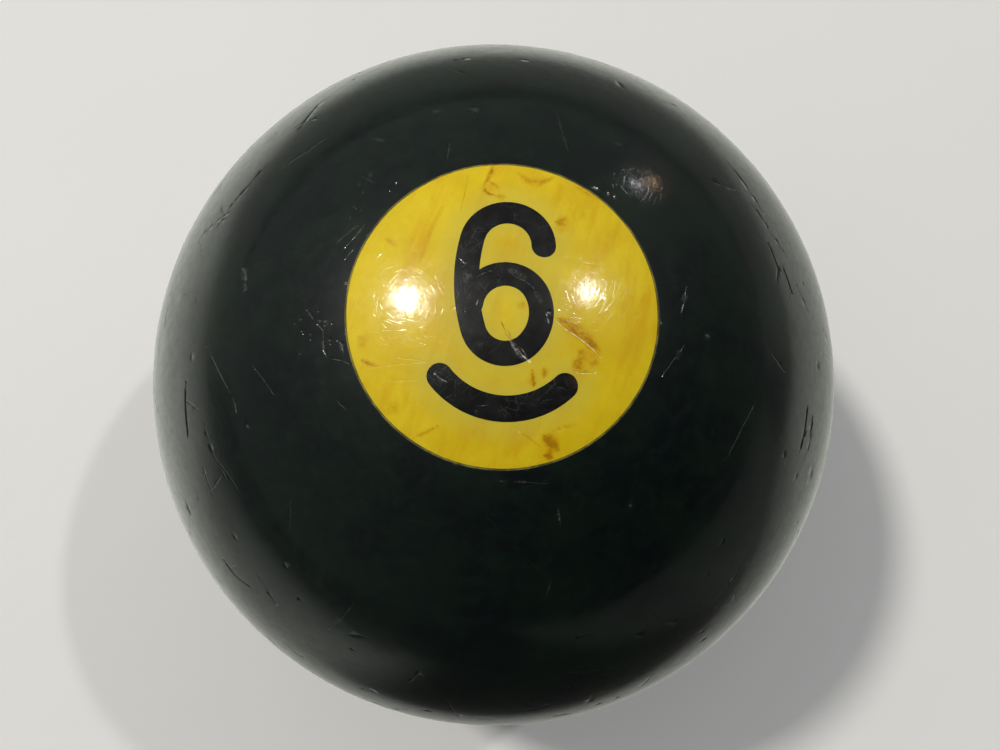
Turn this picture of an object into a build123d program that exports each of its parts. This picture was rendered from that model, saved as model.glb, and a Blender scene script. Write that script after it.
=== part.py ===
from build123d import *
import os

# Pool ball number 6: a cast resin sphere with an inlaid number disc at each pole.
# Lengths are in millimetres and angles in degrees.
# The origin is the ball's centre. +Z leaves through the middle of the top number disc, and +Y
# points to the top of its numeral. Everything at the bottom pole is the top pole's work turned
# half a turn about Y, so that both numerals read upright with +Y up.

# Driving dimensions
ball_diameter = 57.15  # 2 1/4 in, the standard pool ball
disc_diameter = 19.05  # 3/4 in
disc_depth = 6.35  # 1/4 in, from the disc's crown to its flat back
cement_film = 0.12  # glue line round the disc and behind it
inlay_depth = 1.2  # depth of the routed figures, measured along the ball's radius

# The numeral is one cutter path of tangent arcs, all turning left. It starts at the hook's tip,
# runs over the top, down the stem and round the bowl, and ends inside the stem's own stroke.
numeral_stroke = 1.50
numeral_start = Vector(2.47, 3.87)
numeral_heading = 90.0
numeral_arcs = (
    # radius, turn
    (2.19, 165.0),  # hook and crown
    (10.94, 31.0),  # stem
    (1.96, 121.0),  # foot of the bowl
    (2.76, 65.0),  # side of the bowl
    (2.09, 150.0),  # shoulder of the bowl, which runs on down into the stem
)

# The underline that tells a 6 from a 9 is one arc below the numeral, set slightly askew.
underline_stroke = 1.55
underline_centre = Vector(0.22, -0.99)
underline_radius = 5.08
underline_span = 95.0
underline_skew = -4.3  # the arc's lowest point swings this far from straight below its centre

# Worked out from the above
ball_radius = ball_diameter / 2
disc_radius = disc_diameter / 2
pocket_radius = disc_radius + cement_film
disc_back = ball_radius - disc_depth
pocket_floor = disc_back - cement_film
inlay_floor_radius = ball_radius - inlay_depth


def sphere(radius):
    """A sphere whose poles and seam stay clear of both number discs."""
    return Rot(90, 0, 0) * Sphere(radius)


def upright_cylinder(radius, bottom):
    """A cylinder on the Z axis that runs from bottom to beyond the top of the ball."""
    height = ball_diameter - bottom
    base = (Align.CENTER, Align.CENTER, Align.MIN)
    return Pos(0, 0, bottom) * Cylinder(radius, height, align=base)


def heading_vector(degrees):
    return Vector(1, 0).rotate(Axis.Z, degrees)


def stroke_run(start, heading, radius, turn, width):
    """The band that a round cutter leaves along one left-turning arc, with square ends."""
    forward = heading_vector(heading)
    half_left = heading_vector(heading + 90) * (width / 2)
    inner = JernArc(start + half_left, forward, radius - width / 2, turn)
    outer = JernArc(start - half_left, forward, radius + width / 2, turn)
    ends = [Line(inner @ 0, outer @ 0), Line(inner @ 1, outer @ 1)]
    return make_face([inner, outer, *ends])


def stroke_end(point, heading, width):
    """The half disc that the cutter leaves beyond the end of a stroke, on the heading's side."""
    half_left = heading_vector(heading + 90) * (width / 2)
    rim = JernArc(point - half_left, heading_vector(heading), width / 2, 180)
    return make_face([rim, Line(rim @ 1, rim @ 0)])


def numeral_outline():
    """The flat outline of the 6, seen from above the disc."""
    outline = stroke_end(numeral_start, numeral_heading + 180, numeral_stroke)
    start = numeral_start
    heading = numeral_heading
    for radius, turn in numeral_arcs:
        outline += stroke_run(start, heading, radius, turn, numeral_stroke)
        start = JernArc(start, heading_vector(heading), radius, turn) @ 1
        heading += turn
    outline += stroke_end(start, heading, numeral_stroke)
    return outline


def underline_outline():
    """The flat outline of the underline, seen from above the disc."""
    first = 270 + underline_skew - underline_span / 2
    last = first + underline_span
    left_tip = underline_centre + heading_vector(first) * underline_radius
    right_tip = underline_centre + heading_vector(last) * underline_radius
    outline = stroke_run(left_tip, first + 90, underline_radius, underline_span, underline_stroke)
    outline += stroke_end(left_tip, first - 90, underline_stroke)
    outline += stroke_end(right_tip, last + 90, underline_stroke)
    return outline


def inlay(outline):
    """The resin that fills a routed outline, flush with the ball, over a floor concentric with it."""
    prism = extrude(Pos(0, 0, disc_back) * outline, amount=ball_radius)
    return (prism & sphere(ball_radius)) - sphere(inlay_floor_radius)


def number_disc(numeral, underline):
    """The disc with its crown turned flush with the ball and the two figures routed out."""
    blank = upright_cylinder(disc_radius, disc_back) & sphere(ball_radius)
    return blank - numeral - underline


def disc_cement():
    """The thin cup of cement between a number disc and its pocket."""
    film = upright_cylinder(pocket_radius, pocket_floor) - upright_cylinder(disc_radius, disc_back)
    return film & sphere(ball_radius)


def ball_body():
    """The solid cast sphere with a flat-bottomed round pocket at each pole."""
    pocket = upright_cylinder(pocket_radius, pocket_floor)
    return sphere(ball_radius) - pocket - Rot(0, 180, 0) * pocket


numeral = inlay(numeral_outline())
underline = inlay(underline_outline())
pole_parts = {
    "number_disc": number_disc(numeral, underline),
    "numeral": numeral,
    "underline": underline,
    "disc_cement": disc_cement(),
}

nodes = {"ball_body": ball_body()}
for name, part in pole_parts.items():
    nodes[f"{name}_top"] = part
    nodes[f"{name}_bottom"] = Rot(0, 180, 0) * part

os.makedirs("parts", exist_ok=True)
for name, part in nodes.items():
    part.label = name
    export_step(part, f"parts/{name}.step")
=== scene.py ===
import functools
import math

import bpy
import numpy as np
from mathutils import Matrix, Vector
from mathutils.geometry import delaunay_2d_cdt
from mathutils.kdtree import KDTree


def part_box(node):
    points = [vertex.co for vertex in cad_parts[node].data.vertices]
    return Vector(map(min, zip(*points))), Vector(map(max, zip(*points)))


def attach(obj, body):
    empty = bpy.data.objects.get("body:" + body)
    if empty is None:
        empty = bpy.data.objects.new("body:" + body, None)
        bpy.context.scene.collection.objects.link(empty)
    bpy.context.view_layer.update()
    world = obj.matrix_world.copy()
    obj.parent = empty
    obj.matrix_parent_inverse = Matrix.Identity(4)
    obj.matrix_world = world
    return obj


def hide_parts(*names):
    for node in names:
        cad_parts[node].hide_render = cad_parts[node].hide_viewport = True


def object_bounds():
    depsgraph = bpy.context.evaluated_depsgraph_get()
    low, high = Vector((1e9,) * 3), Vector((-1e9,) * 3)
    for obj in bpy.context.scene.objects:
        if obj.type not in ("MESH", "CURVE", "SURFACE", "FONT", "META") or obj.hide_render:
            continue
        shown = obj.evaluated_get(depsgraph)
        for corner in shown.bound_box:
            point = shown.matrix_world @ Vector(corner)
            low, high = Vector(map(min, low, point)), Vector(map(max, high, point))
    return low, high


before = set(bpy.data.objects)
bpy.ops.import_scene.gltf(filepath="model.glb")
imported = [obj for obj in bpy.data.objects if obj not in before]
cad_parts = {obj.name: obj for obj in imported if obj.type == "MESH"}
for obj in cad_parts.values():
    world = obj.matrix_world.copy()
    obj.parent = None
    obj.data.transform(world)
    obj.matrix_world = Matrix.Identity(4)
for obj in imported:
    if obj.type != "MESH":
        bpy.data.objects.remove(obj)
cad_low, cad_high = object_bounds()

# Blender's unit is the metre. All lengths below are in millimetres, and become metres where they
# are handed to Blender.
MM = 0.001

# ---------------------------------------------------------------- sizes
# From the frame
disc_low, disc_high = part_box("number_disc_top")
cement_low, cement_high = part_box("disc_cement_top")
BALL_RADIUS = min(cad_high) / MM
DISC_RADIUS = disc_high.x / MM
DISC_BACK = disc_low.z / MM
POCKET_RADIUS = cement_high.x / MM
POCKET_FLOOR = cement_low.z / MM

# The routed figures, as the CAD source has them: radius and left turn of each arc of the 6
INLAY_DEPTH = 1.2
NUMERAL_STROKE = 1.50
NUMERAL_START = np.array([2.47, 3.87])
NUMERAL_HEADING = 90.0
NUMERAL_ARCS = ((2.19, 165.0), (10.94, 31.0), (1.96, 121.0), (2.76, 65.0), (2.09, 150.0))
UNDERLINE_STROKE = 1.55
UNDERLINE_CENTRE = np.array([0.22, -0.99])
UNDERLINE_RADIUS = 5.08
UNDERLINE_SPAN = 95.0
UNDERLINE_SKEW = -4.3

# Mesh spacing
OUTLINE_STEP = 0.10
REPEAT_GAP = 0.2  # share of that step below which two outline points count as one
DISC_STEP = 0.15
BODY_FINE_STEP = 0.15
BODY_COARSE_STEP = 0.48
BODY_STEP_GROWTH = 1.045
MARK_STEP = 0.09  # along a mark, and the least gap to its points
WIDEST_MESHED_CUT = 0.4  # a wider one needs no mesh points of its own
CUT_ROWS = (-1.1, -0.5, 0.0, 0.5, 1.1)  # rows of points along a cut, as shares of its width
PIT_RINGS = ((0.4, 6), (0.75, 9), (1.05, 12))  # rings of points round a pit: the share, the count
GRID_CLEARANCE = 0.4  # share of a step that grid points keep from marks and from the rim
LOOP_CLEARANCE = 0.45  # and from the figures' outlines
RIM_CLEARANCE = 0.02
ON_RIM = 0.01
CEMENT_POINTS = 720
FAR = 10.0  # stands for any longer distance
TINY = 1e-12  # keeps divisions from failing
MERGE_DISTANCE = 1e-7
SLIVER_AREA = 1e-10

# Wear of the surfaces
FILL_SINK = 0.018  # the black resin has shrunk a little below the disc
FILL_SINK_WIDTH = 0.25
FILL_SINK_AT_EDGE = 0.35  # share of the sink that the fill has where it meets the disc
CEMENT_SINK = 0.012
CEMENT_DIP = 1.3  # how much deeper the middle of the cement's lip has sunk
CEMENT_UNEVENNESS = 0.35  # share of the sink
CEMENT_WAVE_LENGTH = 1.2
EDGE_ROUNDING = 0.006
EDGE_ROUNDING_WIDTH = 0.12
RIPPLE_WAVES = 9
WAVINESS = 0.006
WAVE_LENGTH = 7.0
STREAKINESS = 0.0012
STREAK_LENGTH = 2.2
CUT_FALLOFF = 1.5
STAIN_FALLOFF = 3.0
STAIN_SPREAD = 1.7
LEAST_TAPER = 0.05  # keeps the ends of a mark from narrowing to nothing
FIGURE_TINT_REACH = 1.6  # the yellow resin is paler this near to a figure
NORMAL_PROBE = 0.02


# ---------------------------------------------------------------- flat outlines
def unit(degrees):
    return np.array([math.cos(math.radians(degrees)), math.sin(math.radians(degrees))])


def lengths(rows):
    return np.linalg.norm(rows, axis=1)


def units(rows):
    return rows / lengths(rows)[:, None]


def arc(centre, radius, first, last, step=OUTLINE_STEP):
    """Points along an arc, both ends included. Angles are in degrees."""
    count = max(2, int(abs(math.radians(last - first)) * radius / step) + 1)
    angles = np.radians(np.linspace(first, last, count))
    return centre + radius * np.stack([np.cos(angles), np.sin(angles)], axis=1)


def joined(*runs):
    """Point runs end to end, without the points that repeat where they meet."""
    points = np.concatenate(runs)
    gaps = lengths(points - np.roll(points, 1, axis=0))
    return points[gaps > OUTLINE_STEP * REPEAT_GAP]


def first_crossing(a, b):
    """Where polyline a first crosses polyline b: the segment index on each, and the point."""
    for i in range(len(a) - 1):
        along_a = a[i + 1] - a[i]
        along_b = b[1:] - b[:-1]
        offset = b[:-1] - a[i]
        cross = along_a[0] * along_b[:, 1] - along_a[1] * along_b[:, 0]
        cross[np.abs(cross) < TINY] = TINY
        on_a = (offset[:, 0] * along_b[:, 1] - offset[:, 1] * along_b[:, 0]) / cross
        on_b = (offset[:, 0] * along_a[1] - offset[:, 1] * along_a[0]) / cross
        hits = np.nonzero((on_a >= 0) & (on_a < 1) & (on_b >= 0) & (on_b < 1))[0]
        if len(hits):
            return i, hits[0], a[i] + on_a[hits[0]] * along_a
    raise ValueError("the two lines do not cross")


def numeral_loops():
    """The outline of the 6: its outer loop and the loop round its counter."""
    half = NUMERAL_STROKE / 2
    start, heading = NUMERAL_START, NUMERAL_HEADING
    right_side, left_side = [], []
    for radius, turn in NUMERAL_ARCS:
        centre = start + unit(heading + 90) * radius
        first, last = heading - 90, heading - 90 + turn
        right_side.append(arc(centre, radius + half, first, last))
        left_side.append(arc(centre, radius - half, first, last))
        start = centre + unit(last) * radius
        heading += turn
    stem_inside = np.concatenate(left_side[:2])
    tip = arc(NUMERAL_START, half, NUMERAL_HEADING + 90, NUMERAL_HEADING + 270)
    i, j, crotch = first_crossing(right_side[-1], stem_inside)
    outer = joined(*right_side[:-1], right_side[-1][: i + 1], [crotch], stem_inside[j::-1], tip)
    closing = np.concatenate([left_side[-1], arc(start, half, heading + 90, heading - 90)])
    i, j, corner = first_crossing(closing, left_side[1])
    counter = joined([corner], left_side[1][j + 1 :], *left_side[2:-1], closing[: i + 1])
    return outer, counter


def underline_loop():
    half = UNDERLINE_STROKE / 2
    first = 270 + UNDERLINE_SKEW - UNDERLINE_SPAN / 2
    last = first + UNDERLINE_SPAN
    left_tip = UNDERLINE_CENTRE + unit(first) * UNDERLINE_RADIUS
    right_tip = UNDERLINE_CENTRE + unit(last) * UNDERLINE_RADIUS
    return joined(
        arc(UNDERLINE_CENTRE, UNDERLINE_RADIUS + half, first, last),
        arc(right_tip, half, last, last + 180),
        arc(UNDERLINE_CENTRE, UNDERLINE_RADIUS - half, last, first),
        arc(left_tip, half, first + 180, first + 360),
    )


def inside(points, loop):
    """Which flat points lie inside a closed loop, by counting the edges to their right."""
    result = np.zeros(len(points), bool)
    for (x0, y0), (x1, y1) in zip(loop, np.roll(loop, -1, axis=0)):
        if y0 == y1:
            continue
        between = (y0 > points[:, 1]) != (y1 > points[:, 1])
        crossing = x0 + (points[:, 1] - y0) / (y1 - y0) * (x1 - x0)
        result ^= between & (points[:, 0] < crossing)
    return result


def distance_to(points, targets):
    """Distance from each point to the nearest of the target points, FAR at most."""
    tree = KDTree(len(targets))
    for i, target in enumerate(targets):
        tree.insert((*target, 0.0) if len(target) == 2 else target, i)
    tree.balance()
    flat = points.shape[1] == 2
    return np.array([min(FAR, tree.find((*p, 0.0) if flat else p)[2]) for p in points])


NUMERAL_OUTER, NUMERAL_COUNTER = numeral_loops()
UNDERLINE = underline_loop()
DISC_RIM = arc(np.zeros(2), DISC_RADIUS, 0, 360)[:-1]


# ---------------------------------------------------------------- wear marks
def lift(flat, radius=BALL_RADIUS):
    """Flat points seen from above, moved up to a sphere."""
    flat = np.asarray(flat, float).reshape(-1, 2)
    height = np.sqrt(np.maximum(radius**2 - (flat**2).sum(axis=1), 0))
    return np.column_stack([flat, height])


def turned_under(points):
    """Half a turn about Y, which takes the top pole to the bottom pole."""
    return points * np.array([-1.0, 1.0, -1.0])


class Mark:
    """A scratch, crack, pit or stain along a path on the ball: width is half its breadth.

    depth is how far it cuts in. pale and brown are how strongly it shows as dust-filled damage and
    as a brown stain. ragged makes its breadth vary along it."""

    def __init__(self, path, width, depth=0.0, pale=0.0, brown=0.0, ragged=0.3):
        path = np.asarray(path, float)
        self.path = self.with_short_runs(lift(path) if path.shape[1] == 2 else path)
        self.width, self.depth, self.ragged = width, depth, ragged
        self.pale, self.brown = pale, brown
        self.centre = self.path.mean(axis=0)
        self.is_cut = depth > 0
        self.edge = width if self.is_cut else width * STAIN_SPREAD
        self.reach = lengths(self.path - self.centre).max() + 2 * self.edge

    @staticmethod
    def with_short_runs(path, longest=1.0):
        """The path on the sphere, divided so that straight runs stay close to the surface."""
        pieces = [path[:1]]
        for a, b in zip(path[:-1], path[1:]):
            count = max(1, math.ceil(np.linalg.norm(b - a) / longest))
            share = np.linspace(0, 1, count + 1)[1:, None]
            pieces.append(a + (b - a) * share)
        return on_ball(np.concatenate(pieces))

    def strength(self, points):
        """1 in the middle of the mark, 0 from its edge outward."""
        result = np.zeros(len(points))
        near = np.nonzero(lengths(points - self.centre) < self.reach)[0]
        if not len(near):
            return result
        p = points[near]
        if len(self.path) == 1:
            distance = lengths(p - self.path[0])
            along = np.zeros(len(p))
            taper = 1.0
        else:
            distance = np.full(len(p), np.inf)
            along = np.zeros(len(p))
            runs = len(self.path) - 1
            for i in range(runs):
                a, run = self.path[i], self.path[i + 1] - self.path[i]
                t = np.clip((p - a) @ run / (run @ run), 0, 1)
                d = lengths(p - a - t[:, None] * run)
                closer = d < distance
                distance[closer] = d[closer]
                along[closer] = (i + t[closer]) / runs
            taper = np.sqrt(np.clip(4 * along * (1 - along), LEAST_TAPER, 1))
        wobble = 1 + self.ragged * ripple(p, 0.7 + 2 * self.width, seed=11)
        share = np.clip(1 - (distance / (self.edge * taper * wobble)) ** 2, 0, 1)
        result[near] = share ** (CUT_FALLOFF if self.is_cut else STAIN_FALLOFF)
        return result

    def mesh_points(self):
        """Extra mesh points along a narrow mark, so that its cut is in the mesh."""
        if not self.is_cut or self.width > WIDEST_MESHED_CUT:
            return np.zeros((0, 3))
        if len(self.path) == 1:
            up = self.path[0] / BALL_RADIUS
            side = np.cross(up, [0.3, 0.5, 0.8])
            side /= np.linalg.norm(side)
            other = np.cross(up, side)
            rings = [self.path]
            for share, count in PIT_RINGS:
                turn = np.arange(count) * 2 * math.pi / count
                ring = np.outer(np.cos(turn), side) + np.outer(np.sin(turn), other)
                rings.append(self.path[0] + ring * self.width * share)
            return on_ball(np.concatenate(rings))
        rows = []
        step = max(self.width, MARK_STEP)
        for a, b in zip(self.path[:-1], self.path[1:]):
            run = b - a
            length = np.linalg.norm(run)
            side = np.cross(run, a)
            side *= self.width / np.linalg.norm(side)
            for share in np.arange(0, length, step) / length:
                for across in CUT_ROWS:
                    rows.append(a + run * share + side * across)
        return on_ball(np.array(rows))


def on_ball(points):
    return units(points) * BALL_RADIUS


def ripple(points, wavelength, seed):
    """Smooth seeded noise, mostly between -1 and 1."""
    rng = np.random.default_rng(seed)
    total = np.zeros(len(points))
    for _ in range(RIPPLE_WAVES):
        way = rng.normal(size=3)
        way *= 2 * math.pi / (wavelength * rng.uniform(0.7, 1.4) * np.linalg.norm(way))
        total += np.sin(points @ way + rng.uniform(0, 2 * math.pi))
    return total / math.sqrt(RIPPLE_WAVES)


# Marks on the top disc and on the black figures in it. Paths are (x, y) as seen from above. The
# numbers after a path are half the mark's breadth, the depth of its cut, and how pale it shows.
TOP_MARKS = [
    # the crack in the counter of the 6, and the scrape where it runs on across the black
    Mark([(-0.12, -0.95), (0.08, -1.42), (0.35, -1.78), (0.5, -2.1)], 0.06, 0.05, brown=1.0),
    Mark([(0.38, -2.05), (0.75, -2.52), (1.15, -2.95), (1.55, -3.3)], 0.17, 0.04, 0.8, ragged=0.7),
    Mark([(0.9, -2.4), (1.15, -2.6), (1.3, -2.9)], 0.05, 0.02, brown=0.7),
    # the long bright cut to the right, with its stain
    Mark([(3.1, -0.8), (3.8, -1.35), (4.6, -1.85), (5.3, -2.4), (5.9, -2.95)], 0.06, 0.05, 1.0),
    Mark([(3.25, -0.7), (4.2, -1.22), (5.1, -1.92), (5.8, -2.6)], 0.42, brown=0.82),
    Mark([(4.5, -2.6), (5.0, -3.0), (5.6, -3.3)], 0.94, brown=0.62, ragged=0.6),
    Mark([(4.2, -3.2), (4.6, -3.6)], 0.44, brown=0.60),
    Mark([(4.1, -3.78), (4.6, -3.92), (5.1, -3.9), (5.5, -3.86)], 0.05, 0.03, 0.9),
    # the brown hook below the top edge
    Mark([(-0.6, 9.5), (-0.72, 8.95), (-0.95, 8.4), (-1.15, 8.1)], 0.19, 0.02, brown=1.0),
    Mark([(-1.15, 8.15), (-1.1, 7.65), (-0.85, 7.35), (-0.5, 7.28)], 0.17, 0.01, brown=0.85),
    Mark([(-0.6, 7.3), (-0.2, 7.2), (0.2, 7.05)], 0.28, brown=0.54),
    Mark([(-0.8, 8.3), (-0.4, 7.95), (-0.2, 7.6)], 0.15, brown=0.48),
    Mark([(-0.8, 7.9)], 0.62, brown=0.48),
    # other stains
    Mark([(1.0, 8.9), (1.6, 8.35), (2.3, 8.15), (2.9, 8.45), (3.3, 8.85)], 0.28,
         brown=0.60, ragged=0.6),
    Mark([(3.9, 5.95), (3.65, 5.4), (3.55, 4.85)], 0.5, brown=0.60, ragged=0.7),
    Mark([(3.2, 5.55), (3.8, 5.3)], 0.25, brown=0.54),
    Mark([(4.6, 8.1), (5.3, 7.75), (5.95, 7.35)], 0.25, brown=0.65),
    Mark([(1.75, -3.8), (1.8, -4.35), (1.85, -4.75)], 0.24, brown=0.90, ragged=0.6),
    Mark([(2.35, -3.65), (2.45, -4.25)], 0.2, brown=0.72, ragged=0.6),
    Mark([(2.4, -7.6), (2.8, -8.0), (3.3, -8.4)], 0.75, brown=0.90, ragged=0.7),
    Mark([(2.5, -8.75), (3.0, -8.9)], 0.31, brown=0.96),
    Mark([(1.0, -7.45), (1.7, -7.9), (2.3, -8.3)], 0.09, 0.015, brown=0.6),
    Mark([(2.9, -7.35), (3.7, -7.05), (4.5, -6.95)], 0.09, brown=0.66),
    Mark([(-2.16, 8.7), (-2.35, 7.4), (-2.6, 6.1)], 0.08, 0.01, brown=0.5),
    Mark([(-3.7, 6.6), (-4.2, 5.3), (-4.7, 4.1), (-5.1, 2.6)], 0.15, brown=0.48),
    Mark([(-7.3, 4.6), (-6.8, 4.25), (-6.5, 4.0)], 0.18, brown=0.55),
    Mark([(-8.7, -1.6), (-8.4, -2.2)], 0.56, brown=0.45),
    Mark([(-8.5, -3.0), (-8.0, -3.3), (-7.5, -3.45)], 0.12, brown=0.72),
    Mark([(-5.4, -7.7), (-4.5, -7.4), (-3.9, -7.05)], 0.11, brown=0.66),
    Mark([(-6.8, -5.7), (-6.3, -6.2)], 0.5, brown=0.42),
    Mark([(0.9, -0.1), (1.3, 0.3)], 0.38, brown=0.48),
    # fine pale scratches
    Mark([(-8.4, -3.55), (-6.6, -3.42), (-4.8, -3.35)], 0.045, 0.003, 0.25),
    Mark([(-6.8, -4.42), (-5.1, -4.36)], 0.045, 0.003, 0.25),
    Mark([(-6.2, -3.0), (-5.2, -3.15), (-4.6, -3.35)], 0.045, 0.003, 0.2),
    Mark([(-7.7, 3.2), (-7.4, 3.5)], 0.12, 0.01, 0.5),
    # scuffs on the black
    Mark([(-2.65, 3.0), (-2.25, 2.6)], 0.05, 0.01, 0.7),
    Mark([(-2.6, 2.7), (-2.3, 2.95)], 0.04, 0.01, 0.6),
    Mark([(-2.5, 2.45), (-2.1, 2.85)], 0.04, 0.01, 0.5),
    Mark([(-2.4, 1.55), (-1.9, 2.0)], 0.22, pale=0.25, ragged=0.8),
    Mark([(-1.6, 1.85), (-1.1, 2.1), (-0.6, 2.25)], 0.05, 0.01, 0.5),
    Mark([(0.2, 2.25), (0.8, 2.15), (1.4, 1.8)], 0.12, pale=0.35, ragged=0.8),
    Mark([(0.6, 1.9), (1.3, 1.6), (1.9, 1.1)], 0.05, 0.01, 0.45),
    Mark([(1.9, 0.9), (2.3, 0.2)], 0.2, pale=0.25, ragged=0.8),
    Mark([(2.72, -0.35)], 0.13, 0.03, 1.0),
    Mark([(2.62, -0.55), (2.7, -0.95)], 0.06, 0.02, 0.9),
    Mark([(-2.3, -0.32)], 0.09, 0.02, 1.0),
    Mark([(-2.95, -0.08)], 0.06, 0.02, 0.8),
    Mark([(-1.55, 0.3), (-1.6, 0.1)], 0.05, 0.01, 0.6),
    Mark([(-1.35, -2.3)], 0.2, pale=0.2),
    Mark([(-4.07, -3.98)], 0.14, 0.02, 0.9),
    Mark([(-4.0, -4.05), (-3.7, -4.3), (-3.3, -4.5)], 0.06, 0.015, 0.75, ragged=0.8),
    Mark([(-1.95, -5.12)], 0.06, 0.01, 0.6),
    Mark([(-1.62, -6.2)], 0.08, 0.01, 0.7),
    Mark([(-1.5, -5.9), (-0.9, -5.85)], 0.04, 0.01, 0.45),
    Mark([(4.05, -4.95)], 0.05, 0.01, 0.7),
]

# Marks on the green body that show from above
BODY_MARKS = [
    Mark([(-9.9, 4.0), (-9.1, 4.9), (-8.4, 5.8)], 0.05, 0.006, 0.5),
    Mark([(-10.3, 4.6), (-9.7, 5.1), (-9.0, 5.6)], 0.045, 0.005, 0.4),
    Mark([(-9.8, 3.3), (-9.2, 4.0)], 0.045, 0.005, 0.35),
    Mark([(-9.6, 6.6), (-9.5, 5.9)], 0.06, 0.02, 0.5),
    Mark([(-6.7, 8.4)], 0.09, 0.03, 1.0),
    Mark([(-7.05, 7.85)], 0.08, 0.02, 0.7),
    Mark([(-9.0, 9.3), (-8.5, 8.9), (-8.1, 8.6)], 0.07, 0.02, 0.4),
    Mark([(-8.4, 9.3)], 0.16, 0.02, 0.3),
    Mark([(-3.35, 11.5), (-3.5, 9.9)], 0.06, 0.01, 0.3),
    Mark([(-14.9, 11.4), (-13.2, 12.3), (-11.4, 13.5)], 0.08, 0.01, 0.3),
    Mark([(-17.0, 3.9), (-16.85, 3.2), (-16.7, 2.5)], 0.36, 0.05, 0.45),
    Mark([(-19.6, -1.0), (-18.6, -2.7), (-17.6, -4.3)], 0.07, 0.02, 0.5),
    Mark([(-17.3, -4.9), (-17.15, -5.6)], 0.16, 0.03, 0.5),
    Mark([(-16.3, -6.5)], 0.1, 0.03, 0.7),
    Mark([(-15.8, -2.8), (-14.9, -3.9), (-14.2, -4.8)], 0.06, 0.015, 0.4),
    # crazing beside the disc
    Mark([(-12.3, 0.6), (-11.9, 0.1), (-11.5, -0.5)], 0.05, 0.012, 0.45, ragged=0.9),
    Mark([(-11.5, -0.5), (-11.0, -1.0), (-10.95, -1.5)], 0.06, 0.012, 0.6, ragged=0.9),
    Mark([(-10.95, -1.6), (-10.9, -2.3), (-10.7, -2.8)], 0.05, 0.012, 0.5, ragged=0.9),
    Mark([(-11.0, -1.0), (-10.5, -0.4)], 0.04, 0.01, 0.4, ragged=0.9),
    Mark([(-10.3, -2.85), (-9.7, -3.0), (-9.1, -3.3)], 0.05, 0.010, 0.5, ragged=0.9),
    Mark([(-10.1, -1.7), (-9.7, -2.0), (-9.65, -2.6)], 0.05, 0.01, 0.4, ragged=0.9),
    Mark([(-10.0, -5.4), (-9.4, -6.0)], 0.05, 0.01, 0.4),
    # to the right of the disc
    Mark([(11.55, 1.9), (11.35, 1.0), (11.1, 0.15)], 0.08, 0.02, 0.9, ragged=0.9),
    Mark([(11.3, -1.8), (10.5, -2.8), (9.8, -3.8)], 0.06, 0.012, 0.5, ragged=0.9),
    Mark([(12.85, -1.0)], 0.09, 0.03, 0.9),
    Mark([(16.7, -4.7), (15.5, -6.7), (14.3, -8.8)], 0.07, 0.015, 0.35),
    Mark([(18.0, -1.5), (19.2, -2.6)], 0.08, 0.02, 0.35),
    Mark([(3.35, -11.8), (3.45, -12.3), (3.55, -12.9)], 0.06, 0.02, 0.9),
    Mark([(7.9, -11.6)], 0.08, 0.02, 0.6),
    Mark([(0.0, -10.25), (1.4, -10.3), (2.8, -10.38)], 0.05, 0.01, 0.35, ragged=0.9),
    Mark([(3.1, -16.2), (2.8, -17.3)], 0.06, 0.01, 0.3),
    Mark([(-13.3, -11.3), (-13.5, -13.0)], 0.05, 0.01, 0.3),
    # chips where the disc's edge meets the body, top right
    Mark([(5.6, 8.15), (6.1, 8.0)], 0.09, 0.03, 0.7, ragged=0.8),
    Mark([(6.65, 7.75)], 0.14, 0.05, 1.0),
    Mark([(7.05, 7.55)], 0.12, 0.04, 0.8),
    # towards the top edge
    Mark([(3.65, 14.3), (3.9, 12.6), (4.25, 10.8)], 0.09, 0.01, 0.28),
    Mark([(-4.3, 14.3)], 0.38, 0.03, 0.28),
    Mark([(-2.2, 14.4), (-1.4, 14.2)], 0.3, 0.03, 0.28, ragged=0.8),
    Mark([(-8.4, 12.3), (-7.8, 12.0)], 0.2, 0.02, 0.25),
    Mark([(7.5, 12.0), (8.0, 11.9)], 0.2, 0.02, 0.25),
    # slits and nicks that show dark in the bright rim
    Mark([(-21.6, -3.2), (-21.6, -5.0), (-21.45, -6.6)], 0.22, 0.06),
    Mark([(-22.6, -11.0), (-22.3, -11.9)], 0.25, 0.06),
    Mark([(-19.3, -15.3), (-18.6, -16.2), (-17.4, -16.9)], 0.16, 0.04),
    Mark([(21.6, -4.5), (21.4, -6.2), (21.0, -7.6)], 0.22, 0.05),
    Mark([(22.3, -5.0), (22.1, -6.6)], 0.18, 0.05),
    Mark([(22.9, -1.4)], 0.40, 0.06),
    Mark([(23.0, -8.2), (22.6, -9.6)], 0.45, 0.06),
    Mark([(18.6, 6.6), (19.2, 4.8), (18.9, 3.6)], 0.16, 0.04, 0.3),
    Mark([(19.8, 5.0), (20.4, 3.3)], 0.14, 0.05, 0.25),
]


def random_way(rng, lowest, highest):
    """A random point on the ball whose height is between two shares of its radius."""
    height = rng.uniform(lowest, highest)
    turn = rng.uniform(0, 2 * math.pi)
    ring = math.sqrt(1 - height**2)
    return np.array([ring * math.cos(turn), ring * math.sin(turn), height]) * BALL_RADIUS


def random_scratch(rng, start, length):
    """A path of the given length that leaves start in a random direction and bends a little."""
    side = np.cross(start, rng.normal(size=3))
    side *= length / np.linalg.norm(side)
    bend = np.cross(start, side)
    bend *= length * rng.uniform(-0.08, 0.08) / np.linalg.norm(bend)
    return on_ball(np.array([start, start + side / 2 + bend, start + side]))


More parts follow.
